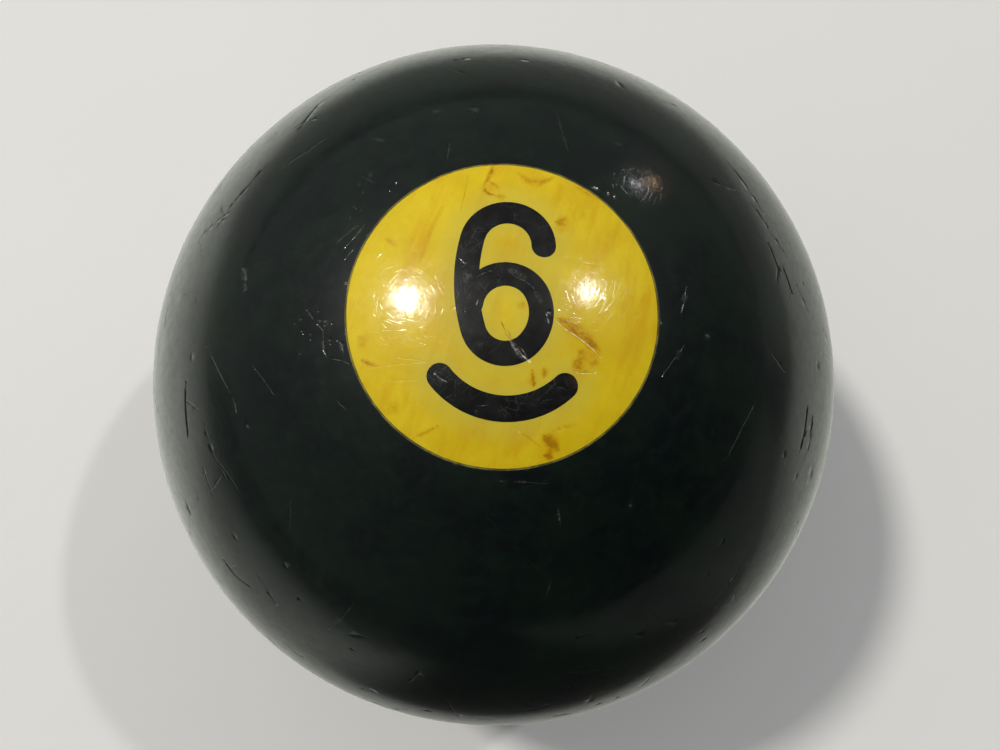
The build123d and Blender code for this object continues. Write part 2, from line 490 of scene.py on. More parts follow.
def random_wear(seed, lowest, highest, scratches, pits, dents):
    """Scratches, pits and shallow dents scattered over part of the ball."""
    rng = np.random.default_rng(seed)
    for _ in range(scratches):
        start = random_way(rng, lowest, highest)
        path = random_scratch(rng, start, min(rng.gamma(2.0, 1.3) + 0.5, 4.5))
        width = rng.uniform(0.035, 0.08)
        yield Mark(path, width, width * 0.2, pale=rng.uniform(0.05, 0.55) ** 2, ragged=0.7)
    for _ in range(pits):
        width = rng.uniform(0.06, 0.16)
        pale = rng.uniform(0.0, 0.7) ** 2
        place = random_way(rng, lowest, highest)
        yield Mark([place], width, width * 0.18, pale=pale, ragged=0.5)
    for _ in range(dents):
        width = rng.uniform(0.6, 2.0)
        yield Mark([random_way(rng, lowest, highest)], width, width * 0.012, ragged=0.4)


def rim_nicks(seed, count):
    """Small chips in the edge between a disc and the body."""
    rng = np.random.default_rng(seed)
    for _ in range(count):
        turn = rng.uniform(0, 360)
        spread = rng.uniform(0.6, 2.5)
        radius = POCKET_RADIUS + rng.uniform(0.0, 0.05)
        path = arc(np.zeros(2), radius, turn, turn + spread)
        yield Mark(path, rng.uniform(0.04, 0.08), 0.015, pale=rng.uniform(0.0, 0.3), ragged=0.8)


def stained_disc_marks(seed):
    """The same kinds of crack, stain and scratch as the top disc has, at random places."""
    rng = np.random.default_rng(seed)
    for _ in range(34):
        flat = unit(rng.uniform(0, 360)) * DISC_RADIUS * math.sqrt(rng.uniform(0, 0.92))
        path = random_scratch(rng, lift(flat)[0], rng.gamma(2.0, 0.8) + 0.3)
        if rng.uniform() < 0.55:
            width = rng.uniform(0.07, 0.45)
            yield Mark(path, width, brown=rng.uniform(0.3, 0.8), ragged=0.7)
        else:
            width = rng.uniform(0.04, 0.07)
            yield Mark(path, width, 0.015, pale=rng.uniform(0.3, 0.8), ragged=0.7)


def speckle(seed, centre, spread, count):
    """A patch of tiny bright chips."""
    rng = np.random.default_rng(seed)
    for _ in range(count):
        place = np.array(centre) + rng.normal(size=2) * spread
        yield Mark([place], rng.uniform(0.04, 0.08), 0.012, pale=rng.uniform(0.3, 0.8))


def combed(seed, centre, heading, spread, length, count):
    """A patch of short scratches that all run nearly the same way."""
    rng = np.random.default_rng(seed)
    for _ in range(count):
        middle = np.array(centre) + rng.normal(size=2) * spread
        half_run = unit(heading + rng.normal() * 9) * rng.uniform(0.3, 0.6) * length
        path = [middle - half_run, middle + half_run]
        yield Mark(path, rng.uniform(0.04, 0.07), 0.002, pale=rng.uniform(0.0, 0.06))


BODY_MARKS += speckle(41, (-11.3, -1.2), 0.9, 16)
BODY_MARKS += speckle(42, (-9.2, 7.6), 0.9, 8)
BODY_MARKS += combed(43, (8.8, 8.7), 72, 0.8, 1.2, 26)
TOP_MARKS += combed(44, (6.3, 1.0), 62, 0.75, 1.1, 22)
BODY_MARKS += random_wear(21, -0.95, 0.72, scratches=310, pits=240, dents=60)
BODY_MARKS += rim_nicks(22, 16)
BODY_MARKS += [
    Mark(turned_under(m.path), m.width, m.depth, m.pale, m.brown, m.ragged)
    for m in rim_nicks(23, 16)
]
BOTTOM_MARKS = list(stained_disc_marks(24))


def cut_depth(points, marks):
    total = np.zeros(len(points))
    for mark in marks:
        if mark.depth > 0:
            total = np.maximum(total, mark.depth * mark.strength(points))
    return total


def tone(points, marks, kind):
    """How strongly the marks show as pale or brown at each point."""
    total = np.zeros(len(points))
    for mark in marks:
        level = getattr(mark, kind)
        if level > 0:
            total = 1 - (1 - total) * (1 - level * mark.strength(points))
    return total


def surface(points, marks, sink):
    """Points on the ball moved in by its waviness, its marks and sink, which gives a depth."""
    way = units(points)
    at = way * BALL_RADIUS
    wave = WAVINESS * (1 + np.clip(ripple(at, WAVE_LENGTH, seed=3), -1, 1))
    streaks = STREAKINESS * (1 + np.clip(ripple(at, STREAK_LENGTH, seed=4), -1, 1))
    depth = wave + streaks + cut_depth(at, marks) + sink(at)
    return way * (BALL_RADIUS - depth)[:, None]


def surface_with_normals(points, marks, sink):
    """The worn surface and its outward normals, from two probes beside each point."""
    base = surface(points, marks, sink)
    # helper is whichever axis is well off the point's own direction
    helper = np.where(np.abs(points[:, 2:3]) < 0.9 * BALL_RADIUS, [[0, 0, 1.0]], [[1.0, 0, 0]])
    first = units(np.cross(helper, points))
    second = units(np.cross(points, first))
    a = surface(points + first * NORMAL_PROBE, marks, sink) - base
    b = surface(points + second * NORMAL_PROBE, marks, sink) - base
    return base, units(np.cross(a, b))


# ---------------------------------------------------------------- meshes
def placed(name, data):
    """A new object in the scene."""
    made = bpy.data.objects.new(name, data)
    bpy.context.scene.collection.objects.link(made)
    return made


def triangulated(flat, loops):
    """A Delaunay triangulation of flat points that keeps the edges of closed loops."""
    points = [Vector(p) for p in np.concatenate([*loops, flat])]
    edges, start = [], 0
    for loop in loops:
        count = len(loop)
        edges += [(start + i, start + (i + 1) % count) for i in range(count)]
        start += count
    out_points, _, faces, *_ = delaunay_2d_cdt(points, edges, [], 0, MERGE_DISTANCE)
    corners = np.array([p[:] for p in out_points])
    faces = np.array([list(f) for f in faces])
    a, b, c = (corners[faces[:, i]] for i in range(3))
    turn = (b - a)[:, 0] * (c - a)[:, 1] - (b - a)[:, 1] * (c - a)[:, 0]
    faces[turn < 0] = faces[turn < 0][:, ::-1]
    return corners, faces[np.abs(turn) > SLIVER_AREA]


def open_edges(faces):
    """Edges used by one face only, in that face's direction."""
    edges = np.concatenate([faces[:, [0, 1]], faces[:, [1, 2]], faces[:, [2, 0]]])
    key = edges.min(axis=1).astype(np.int64) << 32 | edges.max(axis=1)
    _, index, count = np.unique(key, return_index=True, return_counts=True)
    return edges[index[count == 1]]


def clear_of(points, targets, gap):
    """The points that are at least gap away from every target point."""
    return points[distance_to(points, targets) > gap]


class Shell:
    """Collects vertices, faces and face-corner normals of one closed piece."""

    def __init__(self):
        self.points, self.faces, self.normals, self.tones = [], [], [], []
        self.count = 0

    def add_points(self, points, tones=None):
        start = self.count
        self.points.append(points)
        self.tones.append(np.zeros((len(points), 3)) if tones is None else tones)
        self.count += len(points)
        return start

    def add_on_axis(self, height):
        return self.add_points(np.array([[0.0, 0.0, height]]))

    def add_faces(self, faces, normals=None):
        """Faces with a normal for each corner, or flat faces where none is given."""
        self.faces += [tuple(int(i) for i in f) for f in faces]
        if normals is None:
            self.normals += [None] * len(faces)
        else:
            self.normals += list(normals)

    def wall(self, edges, upper, lower):
        """Quads that join each edge of one vertex set to the same edge of another."""
        self.add_faces([(b + upper, a + upper, a + lower, b + lower) for a, b in edges])

    def close_off(self, edges, flat, start, height):
        """A wall down from each rim edge to a flat end at this height, and that end's faces."""
        order = np.unique(edges)
        ring = self.add_points(np.column_stack([flat[order], np.full(len(order), height)]))
        end = {int(v): i + ring for i, v in enumerate(order)}
        centre = self.add_on_axis(height)
        for a, b in edges:
            self.add_faces([(b + start, a + start, end[int(a)], end[int(b)])])
            self.add_faces([(end[int(b)], end[int(a)], centre)])


def new_piece(name, shell, material, node, slot, under=False):
    """Makes the Blender object of a shell, turned to the bottom pole if asked."""
    points = np.concatenate(shell.points)
    tones = np.concatenate(shell.tones)
    if under:
        points = turned_under(points)
    mesh = bpy.data.meshes.new(name)
    mesh.from_pydata((points * MM).tolist(), [], shell.faces)
    mesh.update()
    corner_normals = []
    for face, normal in zip(mesh.polygons, shell.normals):
        if normal is None:
            corner_normals += [tuple(face.normal)] * face.loop_total
        else:
            given = turned_under(normal) if under else normal
            corner_normals += [tuple(n) for n in given]
    mesh.polygons.foreach_set("use_smooth", [True] * len(mesh.polygons))
    for i, kind in enumerate(("pale", "brown", "near_figure")):
        attribute = mesh.attributes.new(kind, "FLOAT", "POINT")
        attribute.data.foreach_set("value", tones[:, i].astype(np.float32))
    mesh.normals_split_custom_set(corner_normals)
    mesh.materials.append(material)
    piece = placed(name, mesh)
    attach(piece, "root")
    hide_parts(node)


def edge_rounding(distance):
    """How far a worn edge drops, for points at this distance from it."""
    return EDGE_ROUNDING * np.clip(1 - distance / EDGE_ROUNDING_WIDTH, 0, 1) ** 2


FIGURE_LOOPS = np.concatenate([NUMERAL_OUTER, NUMERAL_COUNTER, UNDERLINE])
FIGURE_LOOPS_ON_BALL = lift(FIGURE_LOOPS)


def disc_plan(marks):
    """Triangles over the whole disc as seen from above, and which figure each belongs to."""
    row_gap = DISC_STEP * math.sqrt(3) / 2
    rows = np.arange(-DISC_RADIUS, DISC_RADIUS, row_gap)
    columns = np.arange(-DISC_RADIUS, DISC_RADIUS, DISC_STEP)
    x, y = np.meshgrid(columns, rows)
    x[1::2] += DISC_STEP / 2
    grid = np.column_stack([x.ravel(), y.ravel()])
    extra = np.concatenate([m.mesh_points() for m in marks])[:, :2]
    grid = clear_of(grid, extra, GRID_CLEARANCE * DISC_STEP)
    flat = np.concatenate([grid, extra])
    flat = flat[lengths(flat) < DISC_RADIUS - GRID_CLEARANCE * OUTLINE_STEP]
    flat = clear_of(flat, FIGURE_LOOPS, LOOP_CLEARANCE * OUTLINE_STEP)
    loops = [DISC_RIM, NUMERAL_OUTER, NUMERAL_COUNTER, UNDERLINE]
    corners, faces = triangulated(flat, loops)
    middle = corners[faces].mean(axis=1)
    in_numeral = inside(middle, NUMERAL_OUTER) & ~inside(middle, NUMERAL_COUNTER)
    in_underline = inside(middle, UNDERLINE)
    return corners, faces[~(in_numeral | in_underline)], faces[in_numeral], faces[in_underline]


def compact(faces):
    """The vertices that some faces use, and the faces renumbered to them."""
    used, renumbered = np.unique(faces, return_inverse=True)
    return used, renumbered.reshape(faces.shape)


def tones_of(points, marks, figure_distance=None):
    near = np.zeros(len(points))
    if figure_distance is not None:
        near = np.clip(1 - figure_distance / FIGURE_TINT_REACH, 0, 1)
    return np.column_stack([tone(points, marks, "pale"), tone(points, marks, "brown"), near])


def build_disc(corners, disc_faces, figure_faces, marks):
    """The disc: worn crown, routed grooves with walls and floors, side and flat back."""
    shell = Shell()
    used, faces = compact(disc_faces)
    raw = lift(corners[used])
    figure_gap = distance_to(raw, FIGURE_LOOPS_ON_BALL)
    rim_gap = DISC_RADIUS - lengths(corners[used])

    def sink(at):
        rim = DISC_RADIUS - np.hypot(at[:, 0], at[:, 1])
        return edge_rounding(np.maximum(rim, 0)) + edge_rounding(figure_gap)

    crown, normals = surface_with_normals(raw, marks, sink)
    start = shell.add_points(crown, tones_of(raw, marks, figure_gap))
    shell.add_faces(faces + start, normals[faces])
    edges = open_edges(faces)
    on_rim = rim_gap < ON_RIM
    rim_edges = edges[on_rim[edges].all(axis=1)]
    groove_edges = edges[~on_rim[edges].all(axis=1)]
    # grooves: the floor reuses the plan's own points, so it meets the walls exactly
    floor_used, floor_faces = compact(figure_faces)
    floor_start = shell.add_points(lift(corners[floor_used], BALL_RADIUS - INLAY_DEPTH))
    shell.add_faces(floor_faces + floor_start)
    to_floor = {int(v): i + floor_start for i, v in enumerate(floor_used)}
    below = [to_floor.get(int(v)) for v in used]
    shell.add_faces([(b + start, a + start, below[a], below[b]) for a, b in groove_edges])
    shell.close_off(rim_edges, corners[used], start, DISC_BACK)
    return shell


def build_fill(corners, faces, marks):
    """The black resin in a groove: its face sits a little below the disc's."""
    shell = Shell()
    used, faces = compact(faces)
    raw = lift(corners[used])
    edge_gap = distance_to(raw, FIGURE_LOOPS_ON_BALL)

    def sink(at):
        return FILL_SINK * np.clip(edge_gap / FILL_SINK_WIDTH, FILL_SINK_AT_EDGE, 1)

    face, normals = surface_with_normals(raw, marks, sink)
    start = shell.add_points(face, tones_of(raw, marks))
    shell.add_faces(faces + start, normals[faces])
    floor = shell.add_points(lift(corners[used], BALL_RADIUS - INLAY_DEPTH))
    shell.add_faces(faces[:, ::-1] + floor)
    shell.wall(open_edges(faces), start, floor)
    return shell


def body_rings():
    """Points over one half of the body, in rings that grow coarser away from the pocket."""
    rim_angle = math.asin(POCKET_RADIUS / BALL_RADIUS)
    step = BODY_FINE_STEP
    angle = rim_angle + step / BALL_RADIUS
    rng = np.random.default_rng(5)
    rings = []
    while angle < math.pi / 2 - BODY_COARSE_STEP / BALL_RADIUS / 2:
        radius = BALL_RADIUS * math.sin(angle)
        count = math.ceil(2 * math.pi * radius / step)
        turn = (np.arange(count) + rng.uniform()) * 2 * math.pi / count
        height = np.full(count, BALL_RADIUS * math.cos(angle))
        rings.append(np.column_stack([radius * np.cos(turn), radius * np.sin(turn), height]))
        angle += step * math.sqrt(3) / 2 / BALL_RADIUS
        step = min(step * BODY_STEP_GROWTH, BODY_COARSE_STEP)
    return np.concatenate(rings)


def stereographic(points):
    """Points on the ball in a plane, seen from the bottom pole, so that circles stay circles."""
    return points[:, :2] / (BALL_RADIUS + points[:, 2:3])


def from_stereographic(flat):
    square = (flat**2).sum(axis=1)[:, None]
    return BALL_RADIUS * np.column_stack([2 * flat, 1 - square]) / (1 + square)


def build_body(marks):
    """The green ball between its two pockets, with the pockets' walls and floors."""
    shell = Shell()
    upper = body_rings()
    points = np.concatenate([upper, turned_under(upper)])
    extra = np.concatenate([m.mesh_points() for m in marks])
    points = np.concatenate([clear_of(points, extra, MARK_STEP), extra])
    rim_height = math.sqrt(BALL_RADIUS**2 - POCKET_RADIUS**2)
    off_rim = np.abs(points[:, 2]) < rim_height - RIM_CLEARANCE
    points = points[off_rim]
    rim = arc(np.zeros(2), POCKET_RADIUS, 0, 360)[:-1]
    top_rim = np.column_stack([rim, np.full(len(rim), rim_height)])
    loops = [stereographic(top_rim), stereographic(turned_under(top_rim))]
    flat, faces = triangulated(stereographic(points), loops)
    inner = np.linalg.norm(loops[0][0])
    kept = lengths(flat[faces].mean(axis=1)) > inner * math.cos(math.pi / len(rim))
    used, faces = compact(faces[kept])
    raw = from_stereographic(flat[used])

    def sink(at):
        rim_gap = np.maximum(np.hypot(at[:, 0], at[:, 1]) - POCKET_RADIUS, 0)
        return edge_rounding(np.where(np.abs(at[:, 2]) > rim_height * 0.9, rim_gap, FAR))

    skin, normals = surface_with_normals(raw, marks, sink)
    start = shell.add_points(skin, tones_of(raw, marks))
    shell.add_faces(faces + start, normals[faces])
    edges = open_edges(faces)
    for side in (1, -1):
        rim_edges = edges[(raw[edges[:, 0], 2] * side) > 0]
        shell.close_off(rim_edges, raw[:, :2], start, side * POCKET_FLOOR)
    return shell


def build_cement(seed):
    """The cup of cement: a thin worn lip between disc and body, over a wall and a floor."""
    shell = Shell()
    count = CEMENT_POINTS
    turn = np.arange(count) * 2 * math.pi / count
    lip = np.column_stack([np.cos(turn), np.sin(turn)])
    middle = (DISC_RADIUS + POCKET_RADIUS) / 2

    def ring(radius, height):
        return np.column_stack([lip * radius, np.broadcast_to(height, count)])

    def lip_height(radius, sink):
        rough = CEMENT_UNEVENNESS * ripple(ring(radius, 0.0), CEMENT_WAVE_LENGTH, seed)
        return np.sqrt((BALL_RADIUS - sink * (1 + rough)) ** 2 - radius**2)

    rings = [
        ring(DISC_RADIUS, DISC_BACK),
        ring(DISC_RADIUS, lip_height(DISC_RADIUS, CEMENT_SINK)),
        ring(middle, lip_height(middle, CEMENT_SINK * CEMENT_DIP)),
        ring(POCKET_RADIUS, lip_height(POCKET_RADIUS, CEMENT_SINK)),
        ring(POCKET_RADIUS, POCKET_FLOOR),
    ]
    starts = [shell.add_points(r) for r in rings]
    under = shell.add_on_axis(POCKET_FLOOR)
    over = shell.add_on_axis(DISC_BACK)
    sides = [(i, (i + 1) % count) for i in range(count)]
    for lower, upper in zip(starts[:-1], starts[1:]):
        shell.add_faces([(lower + j, lower + i, upper + i, upper + j) for i, j in sides])
    shell.add_faces([(starts[-1] + j, starts[-1] + i, under) for i, j in sides])
    shell.add_faces([(starts[0] + i, starts[0] + j, over) for i, j in sides])
    return shell


# ---------------------------------------------------------------- materials
BLUE_GREEN = (0.0014, 0.0036, 0.0044)
BOTTLE_GREEN = (0.0030, 0.0092, 0.0054)
OLIVE_FLECKS = (0.0056, 0.0090, 0.0046)
GREEN_DUST = (0.22, 0.24, 0.20)
DEEP_YELLOW = (0.630, 0.447, 0.006)
CLEAR_YELLOW = (0.700, 0.520, 0.011)
OCHRE_STREAKS = (0.61, 0.37, 0.003)
LIGHT_FLECKS = (0.74, 0.57, 0.02)
YELLOW_BY_FIGURE = (0.52, 0.45, 0.065)
GOLDEN_STAIN = (0.57, 0.340, 0.001)
BROWN_STAIN = (0.37, 0.172, 0.001)
YELLOW_DUST = (0.85, 0.78, 0.52)
DEEP_BLACK = (0.0028, 0.0030, 0.0031)
CLOUDED_BLACK = (0.0068, 0.0072, 0.0072)
BLACK_DUST = (0.34, 0.35, 0.33)
BROWN_ON_BLACK = (0.30, 0.17, 0.05)
CLEAN_CEMENT = (0.210, 0.175, 0.030)
GRIMY_CEMENT = (0.075, 0.070, 0.020)


class Nodes:
    """Short calls for building a node tree. An input named by a keyword has _ for each space."""

    def __init__(self, tree):
        self.tree = tree

    def node(self, kind, settings=None, **inputs):
        made = self.tree.nodes.new(kind)
        for key, value in (settings or {}).items():
            setattr(made, key, value)
        for key, value in inputs.items():
            self.set(made.inputs[key.replace("_", " ")], value)
        return made

    def set(self, socket, value):
        if isinstance(value, bpy.types.NodeSocket):
            self.tree.links.new(value, socket)
        elif socket.type == "RGBA" and len(value) == 3:
            socket.default_value = (*value, 1.0)
        else:
            socket.default_value = value

    def vector(self, operation, a, b=(0.0, 0.0, 0.0), **inputs):
        made = self.node("ShaderNodeVectorMath", {"operation": operation}, **inputs)
        self.set(made.inputs[0], a)
        self.set(made.inputs[1], b)
        return made.outputs["Value" if operation in ("DOT_PRODUCT", "LENGTH") else "Vector"]

    def maths(self, operation, a, b=0.0, clamp=False):
        made = self.node("ShaderNodeMath", {"operation": operation, "use_clamp": clamp})
        self.set(made.inputs[0], a)
        self.set(made.inputs[1], b)
        return made.outputs[0]

    def total(self, *values):
        return functools.reduce(functools.partial(self.maths, "ADD"), values)

    def times(self, *values):
        return functools.reduce(functools.partial(self.maths, "MULTIPLY"), values)


class Graph(Nodes):
    """Short calls for building one material's nodes."""

    def __init__(self, name):
        self.material = bpy.data.materials.new(name)
        self.material.use_nodes = True
        super().__init__(self.material.node_tree)
        self.shader = self.tree.nodes["Principled BSDF"]
        where = self.node("ShaderNodeTexCoord").outputs["Object"]
        self.place = self.vector("SCALE", where, Scale=1 / MM)
        self.radial = self.vector("NORMALIZE", where)

    def attribute(self, name):
        return self.node("ShaderNodeAttribute", {"attribute_name": name}).outputs["Fac"]

    def noise(self, scale, detail=4.0, roughness=0.55, at=None):
        """Noise whose lumps are about 1 / scale mm across."""
        made = self.node("ShaderNodeTexNoise", Scale=scale, Detail=detail, Roughness=roughness,
                         Vector=at or self.place)
        return made.outputs["Fac"]

    def span(self, value, low, high, out_low=0.0, out_high=1.0):
        """value's range low..high, clamped and smoothed, as out_low..out_high."""
        made = self.node("ShaderNodeMapRange", {"interpolation_type": "SMOOTHSTEP"}, Value=value,
                         From_Min=low, From_Max=high, To_Min=out_low, To_Max=out_high)
        return made.outputs["Result"]

    def mix(self, share, a, b):
        made = self.node("ShaderNodeMix", {"data_type": "RGBA"}, Factor=share)
        # its inputs 6 and 7 are the two colours, and its output 2 is the mixed one
        self.set(made.inputs[6], a)
        self.set(made.inputs[7], b)
        return made.outputs[2]

    def broken(self, name, grain=3.5):
        """An attribute's strength, broken up along its marks as real damage is."""
        return self.times(self.attribute(name), self.span(self.noise(grain, 3.0, 0.7), 0.36, 0.62))

    def stretched(self, turn, stretch):
        """The place with one direction in the disc's plane drawn out, for streaky patterns."""
        made = self.node("ShaderNodeMapping", {"vector_type": "TEXTURE"}, Vector=self.place,
                         Rotation=(0.0, 0.0, math.radians(turn)), Scale=(stretch, 1.0, 1.0))
        return made.outputs["Vector"]

    def hairlines(self, cell, width, reach, shift):
        """Thin straight scratches, one through each cell of a random pattern of that size in mm.

        width is half a scratch's breadth, reach half its length as a share of the cell, and shift
        moves the pattern."""
        at = self.vector("ADD", self.place, (shift, -shift, 2.3 * shift))
        cells = self.node("ShaderNodeTexVoronoi", Scale=1 / cell, Vector=at)
        from_seed = self.vector("SUBTRACT", at, cells.outputs["Position"])
        heading = self.vector("SUBTRACT", cells.outputs["Color"], (0.5, 0.5, 0.5))
        across = self.vector("NORMALIZE", self.vector("CROSS_PRODUCT", heading, self.radial))
        gap = self.maths("ABSOLUTE", self.vector("DOT_PRODUCT", from_seed, across))
        line = self.span(gap, width, 0.0)
        along = self.vector("LENGTH", from_seed)
        return self.times(line, self.span(along, reach * cell, 0.3 * reach * cell))

    def shade(self, **inputs):
        """Sets inputs of the material's shader."""
        for key, value in inputs.items():
            self.set(self.shader.inputs[key.replace("_", " ")], value)

    def finish(self, colour, roughness, height, coat, coat_roughness, specular):
        """Sets the shader. height is the relief in mm, which becomes a bump."""
        bump = self.node("ShaderNodeBump", Strength=1.0, Distance=MM, Height=height)
        self.shade(Base_Color=colour, Roughness=roughness, Specular_IOR_Level=specular)
        self.shade(Coat_Weight=coat, Coat_Roughness=coat_roughness)
        self.shade(Normal=bump.outputs["Normal"], Coat_Normal=bump.outputs["Normal"])
        return self.material

    def finish_resin(self, colour, height, pattern, damage, rough, dulled, gloss, coat, specular):
        """A polished resin. rough and gloss are the roughness, low and high over a pattern, of the
        resin and of its polished coat. Damage dulls both."""
        roughness = self.total(self.span(pattern, 0.3, 0.8, *rough), self.times(damage, dulled))
        coat_roughness = self.total(self.span(pattern, 0.3, 0.75, *gloss), self.times(damage, 0.3))
        return self.finish(colour, roughness, height, coat, coat_roughness, specular)


def hairline_haze(graph):
    """The dense fine scratches that every part of the ball's face has, thicker in places."""
    layers = [
        graph.hairlines(0.45, 0.024, 0.75, 3.0),
        graph.hairlines(0.60, 0.027, 0.80, 17.0),
        graph.hairlines(0.80, 0.030, 0.85, 31.0),
        graph.hairlines(1.20, 0.033, 0.85, 43.0),
    ]
    density = graph.span(graph.noise(0.35, 3.0), 0.35, 0.62, 0.60, 1.0)
    return graph.times(graph.total(*layers), density)


def body_material():
    g = Graph("green_resin")
    cloud = g.noise(0.22, 5.0, 0.62)
    fine = g.noise(1.3, 5.0, 0.65)
    green = g.mix(g.span(cloud, 0.36, 0.64), BLUE_GREEN, BOTTLE_GREEN)
    green = g.mix(g.span(fine, 0.50, 0.72, 0.0, 0.6), green, OLIVE_FLECKS)
    haze = hairline_haze(g)
    long_scratches = g.hairlines(7.5, 0.045, 0.9, 91.0)
    breaks = g.span(g.noise(0.9, 3.0), 0.46, 0.62)
    lines = g.total(g.times(haze, 0.35), g.times(long_scratches, 0.6))
    dust = g.maths("MAXIMUM", g.times(lines, breaks, 0.10), g.broken("pale"), clamp=True)
    colour = g.mix(g.times(dust, 0.42), green, GREEN_DUST)
    height = g.total(
        g.times(haze, -0.0014),
        g.times(long_scratches, -0.0016),
        g.times(g.noise(0.8, 3.0), 0.006),
    )
    return g.finish_resin(colour, height, fine, dust, rough=(0.36, 0.48), dulled=0.2,
                          gloss=(0.08, 0.16), coat=0.75, specular=0.22)


def disc_material():
    g = Graph("yellow_resin")
    cloud = g.noise(0.30, 4.0, 0.6)
    streaks = g.noise(0.75, 5.0, 0.6, at=g.stretched(72.0, 4.5))
    fine = g.noise(1.6, 5.0, 0.65)
    yellow = g.mix(g.span(cloud, 0.35, 0.68), DEEP_YELLOW, CLEAR_YELLOW)
    yellow = g.mix(g.span(streaks, 0.46, 0.70, 0.0, 0.85), yellow, OCHRE_STREAKS)
    yellow = g.mix(g.span(fine, 0.50, 0.78, 0.0, 0.30), yellow, LIGHT_FLECKS)
    yellow = g.mix(g.times(g.attribute("near_figure"), 0.55), yellow, YELLOW_BY_FIGURE)
    veil = g.span(g.noise(1.7, 5.0, 0.7), 0.30, 0.66, 0.50, 1.30)
    stain = g.times(g.attribute("brown"), veil)
    colour = g.mix(g.span(stain, -0.2, 0.75, -0.12, 0.92), yellow, GOLDEN_STAIN)
    colour = g.mix(g.span(stain, 0.38, 1.00, 0.0, 0.94), colour, BROWN_STAIN)
    haze = hairline_haze(g)
    pale = g.broken("pale")
    colour = g.mix(g.times(pale, 0.75), colour, YELLOW_DUST)
    height = g.total(g.times(haze, -0.0016), g.times(g.noise(1.2, 3.0), 0.005))
    g.shade(Subsurface_Weight=0.15, Subsurface_Radius=(1.0, 0.55, 0.12), Subsurface_Scale=0.5 * MM)
    return g.finish_resin(colour, height, fine, pale, rough=(0.34, 0.46), dulled=0.25,
                          gloss=(0.10, 0.20), coat=0.75, specular=0.12)


def figure_material():
    g = Graph("black_resin")
    cloud = g.noise(0.9, 5.0, 0.65)
    black = g.mix(g.span(cloud, 0.35, 0.7), DEEP_BLACK, CLOUDED_BLACK)
    haze = hairline_haze(g)
    breaks = g.span(g.noise(0.8, 4.0), 0.46, 0.62)
    scuffs = g.times(haze, breaks, 0.16)
    dust = g.maths("MAXIMUM", scuffs, g.broken("pale", 6.0), clamp=True)
    colour = g.mix(g.times(dust, 0.6), black, BLACK_DUST)
    colour = g.mix(g.times(g.attribute("brown"), 0.5), colour, BROWN_ON_BLACK)
    height = g.total(g.times(haze, -0.0016), g.times(g.noise(1.2, 3.0), 0.005))
    return g.finish_resin(colour, height, cloud, dust, rough=(0.34, 0.46), dulled=0.3,
                          gloss=(0.12, 0.20), coat=0.70, specular=0.18)


def cement_material():
    g = Graph("pale_cement")
    grime = g.noise(0.9, 4.0, 0.6)
    colour = g.mix(g.span(grime, 0.35, 0.62), CLEAN_CEMENT, GRIMY_CEMENT)
    height = g.times(g.noise(6.0, 4.0), 0.004)
    return g.finish(colour, 0.6, height, coat=0.0, coat_roughness=0.3, specular=0.2)


# ---------------------------------------------------------------- the object
green_resin = body_material()
yellow_resin = disc_material()
black_resin = figure_material()
pale_cement = cement_material()

new_piece("ball_body_worn", build_body(BODY_MARKS), green_resin, "ball_body", "ball_body")
for pole, pole_marks, cement_seed in (("top", TOP_MARKS, 31), ("bottom", BOTTOM_MARKS, 32)):
    plan, disc_faces, numeral_faces, underline_faces = disc_plan(pole_marks)
    figures = np.concatenate([numeral_faces, underline_faces])
    disc = build_disc(plan, disc_faces, figures, pole_marks)
    shells = {
        "number_disc": (disc, yellow_resin, "number_disc"),
        "numeral": (build_fill(plan, numeral_faces, pole_marks), black_resin, "numeral"),
        "underline": (build_fill(plan, underline_faces, pole_marks), black_resin, "numeral"),
        "disc_cement": (build_cement(cement_seed), pale_cement, "disc_cement"),
    }
    for part, (shell, material, slot) in shells.items():
        node = f"{part}_{pole}"
        new_piece(f"{node}_worn", shell, material, node, slot, under=pole == "bottom")


# ---------------------------------------------------------------- floor, light and camera
def paper_material():
    g = Graph("pale_paper")
    cloud = g.noise(0.02, 3.0, 0.5)
    colour = g.mix(cloud, (0.77, 0.765, 0.75), (0.80, 0.80, 0.795))
    height = g.times(g.noise(0.25, 4.0), 0.05)
    # beyond the lamps' reach the paper glows softly, so that it runs into the pale background
    glow = g.span(g.vector("LENGTH", g.place), 220, 1300, 0.0, 0.45)
    g.shade(Emission_Color=(1.0, 1.0, 1.0), Emission_Strength=glow)
    g.material.cycles.emission_sampling = "NONE"
    return g.finish(colour, 0.9, height, coat=0.0, coat_roughness=0.5, specular=0.1)


def flat_sheet(name, corners, material):
    """A flat four-sided sheet through the given corners, in mm."""
    mesh = bpy.data.meshes.new(name)
    mesh.from_pydata([tuple(c * MM for c in corner) for corner in corners], [], [(0, 1, 2, 3)])
    mesh.materials.append(material)
    sheet = placed(name, mesh)
    return sheet


FLOOR_HEIGHT = -BALL_RADIUS
FLOOR_REACH = 3000.0
CARD_GAP = 0.3
SQUARE = ((-1, -1), (1, -1), (1, 1), (-1, 1))
FLOOR_CORNERS = [(i * FLOOR_REACH, j * FLOOR_REACH) for i, j in SQUARE]
flat_sheet("floor", [(x, y, FLOOR_HEIGHT) for x, y in FLOOR_CORNERS], paper_material())


